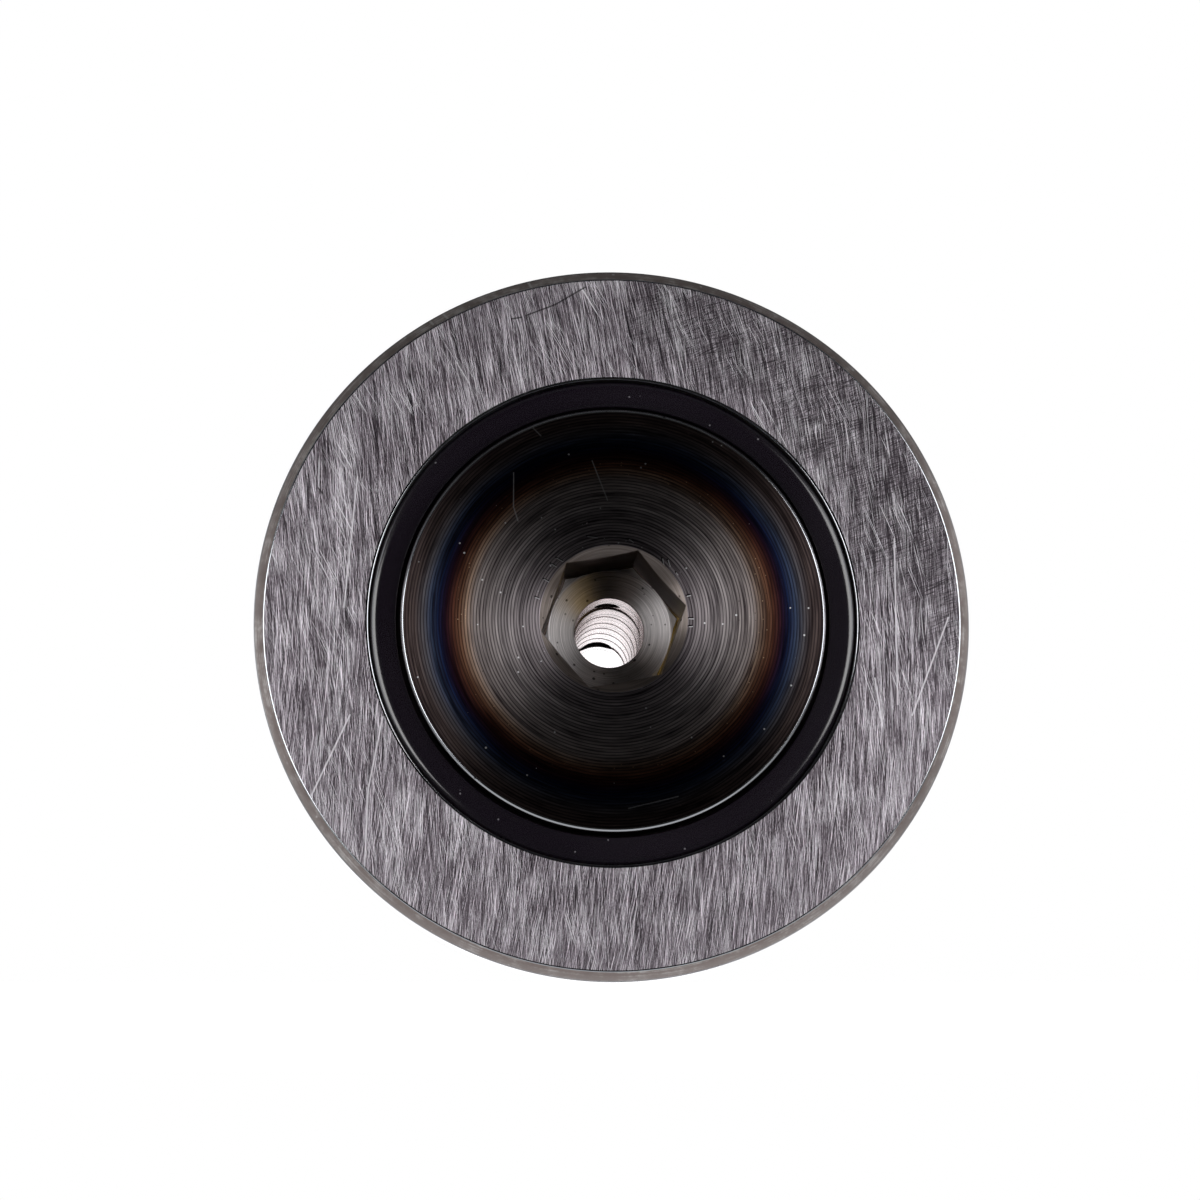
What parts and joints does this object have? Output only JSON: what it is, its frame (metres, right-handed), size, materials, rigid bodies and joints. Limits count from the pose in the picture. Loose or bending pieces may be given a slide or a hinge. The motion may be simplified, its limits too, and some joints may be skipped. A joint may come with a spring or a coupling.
{
  "type": "stud type track roller",
  "caption": "Cam follower: a crowned outer ring turns on full rows of cylindrical rollers around a threaded stud with a hexagon socket in its head.",
  "frame": {"origin": "on the axis of rotation, in the abutment face of the flange ring that rests on the machine", "axes": "+Y along the stud from the abutment face towards the threaded end, -Y towards the head with its hexagon socket, +Z towards the lubrication ducts of the stud"},
  "size_m": [0.08, 0.1, 0.08],
  "materials": {
    "hardened_stud_steel": "turned, hardened and heat-tinted head, ground shank, cut thread",
    "flange_steel": "turned steel with fine grooves",
    "ground_ring_steel": "ground bearing steel with crossed grinding lines and light handling scratches",
    "shield_steel": "dark oxidised sheet, satin",
    "roller_steel": "ground and superfinished bearing steel"
  },
  "bodies": {
    "stud": {"stud": "hardened_stud_steel", "flange_ring": "flange_steel"},
    "outer_ring": {"outer_ring": "ground_ring_steel", "front_shield": "shield_steel", "rear_shield": "shield_steel"},
    "front_roller_row": {"front_roller_01": "roller_steel", "front_roller_02": "roller_steel", "front_roller_03": "roller_steel", "front_roller_04": "roller_steel", "front_roller_05": "roller_steel", "front_roller_06": "roller_steel", "front_roller_07": "roller_steel", "front_roller_08": "roller_steel", "front_roller_09": "roller_steel", "front_roller_10": "roller_steel", "front_roller_11": "roller_steel", "front_roller_12": "roller_steel", "front_roller_13": "roller_steel", "front_roller_14": "roller_steel"},
    "rear_roller_row": {"rear_roller_01": "roller_steel", "rear_roller_02": "roller_steel", "rear_roller_03": "roller_steel", "rear_roller_04": "roller_steel", "rear_roller_05": "roller_steel", "rear_roller_06": "roller_steel", "rear_roller_07": "roller_steel", "rear_roller_08": "roller_steel", "rear_roller_09": "roller_steel", "rear_roller_10": "roller_steel", "rear_roller_11": "roller_steel", "rear_roller_12": "roller_steel", "rear_roller_13": "roller_steel", "rear_roller_14": "roller_steel"}
  },
  "joints": [
    {"name": "outer_ring_spin", "type": "hinge", "parent": "stud", "child": "outer_ring", "pos_m": [0, -0.0185, 0], "axis": [0, 1, 0], "continuous": true},
    {"name": "front_row_orbit", "type": "hinge", "parent": "stud", "child": "front_roller_row", "pos_m": [0, -0.0185, 0], "axis": [0, 1, 0], "continuous": true},
    {"name": "rear_row_orbit", "type": "hinge", "parent": "stud", "child": "rear_roller_row", "pos_m": [0, -0.0185, 0], "axis": [0, 1, 0], "continuous": true}
  ],
  "couplings": [
    {"joint": "front_row_orbit", "follows": "outer_ring_spin", "ratio": 0.61111},
    {"joint": "rear_row_orbit", "follows": "outer_ring_spin", "ratio": 0.61111}
  ]
}
